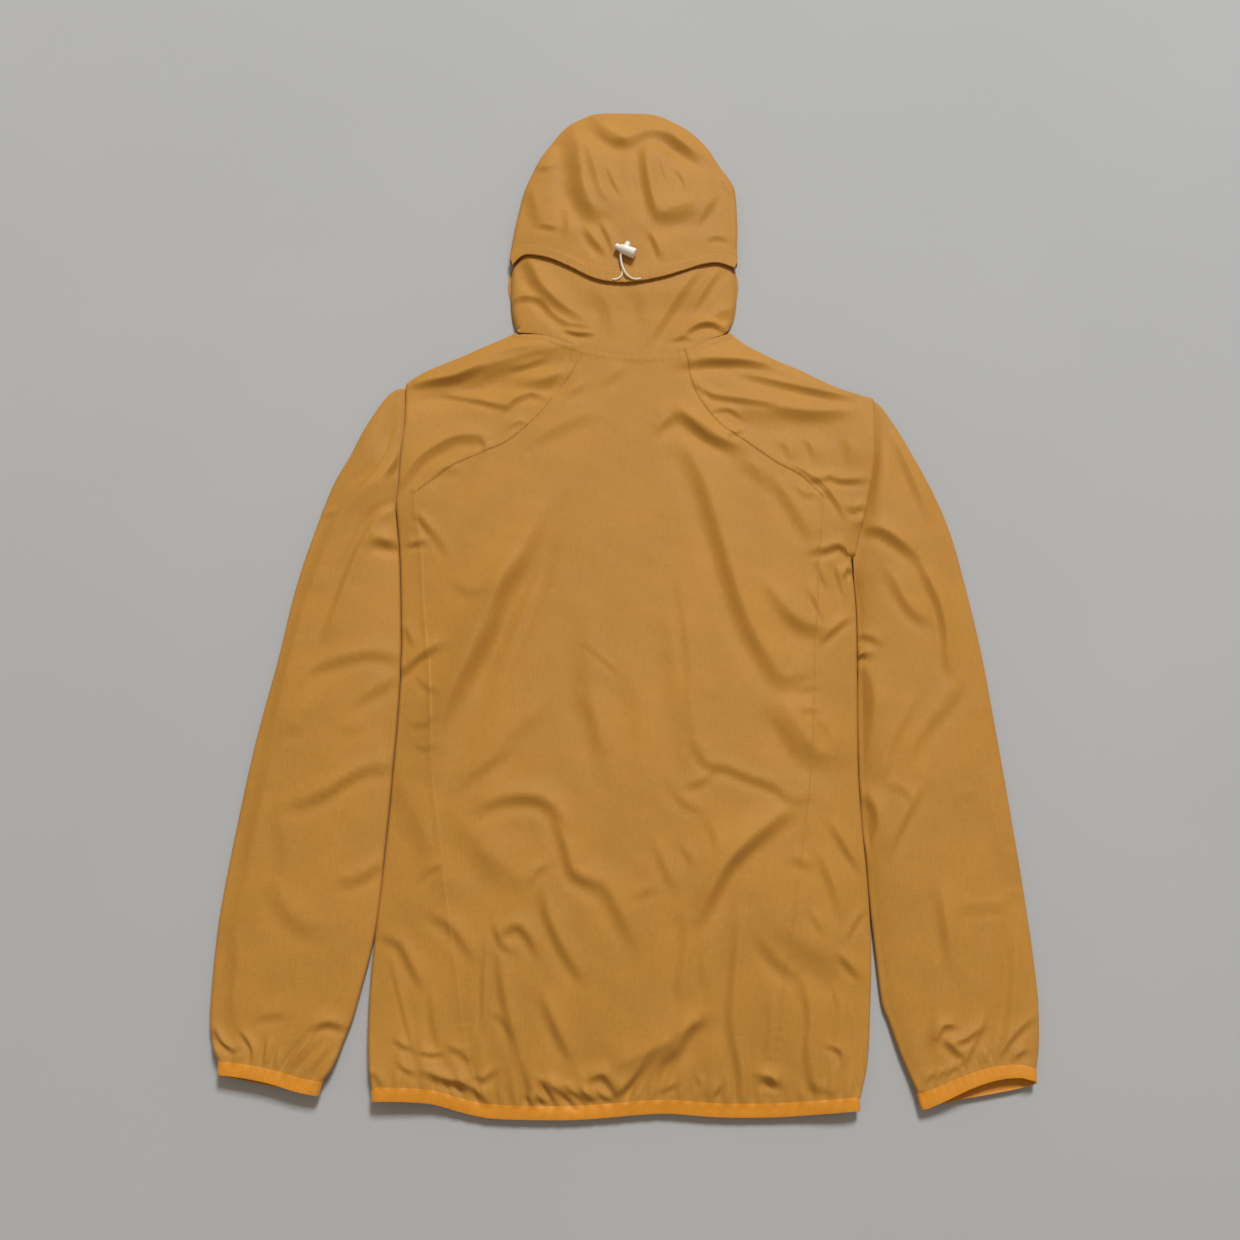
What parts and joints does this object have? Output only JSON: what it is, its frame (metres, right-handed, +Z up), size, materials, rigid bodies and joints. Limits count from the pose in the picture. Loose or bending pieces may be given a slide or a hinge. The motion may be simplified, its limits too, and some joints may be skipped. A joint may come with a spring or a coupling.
{
  "type": "track jacket",
  "caption": "Light hooded track jacket laid flat with its back up, sleeves along its sides, elastic binding at hem and cuffs, cord lock at the back of the hood.",
  "frame": {"origin": "middle of the laid-out jacket's outline, on the surface it lies on", "axes": "+Y runs from the hem to the hood, +X towards the sleeve at the right with the back up, +Z up"},
  "size_m": [0.6906, 0.9618, 0.0299],
  "materials": {
    "cloth": "thin plain-woven nylon, matt with a faint sheen",
    "binding": "elastic binding tape, matt",
    "zip": "woven zip tape with moulded teeth",
    "cord": "thin round elastic cord",
    "trim": "satin moulded plastic"
  },
  "bodies": {
    "root": {"back_panel": "cloth", "side_panel_left": "cloth", "side_panel_right": "cloth", "front_left": "cloth", "front_right": "cloth", "sleeve_left_cap": "cloth", "sleeve_right_cap": "cloth", "sleeve_left_arm": "cloth", "sleeve_right_arm": "cloth", "hood_neck": "cloth", "hood_crown": "cloth", "hood_side_left": "cloth", "hood_side_right": "cloth", "cuff_binding_left": "binding", "cuff_binding_right": "binding", "hem_binding": "binding", "front_zip": "zip", "zip_slider": "trim", "hood_cord_left": "cord", "hood_cord_right": "cord", "cord_lock_barrel": "trim"},
    "cord_lock_plunger": {"cord_lock_plunger": "trim"}
  },
  "joints": [
    {"name": "cord_lock_push", "type": "slide", "parent": "root", "child": "cord_lock_plunger", "axis": [-0.4067, -0.9135, 0], "range_m": [0, 0.003], "stiffness_N_per_m": 300, "springref_m": -0.002}
  ]
}
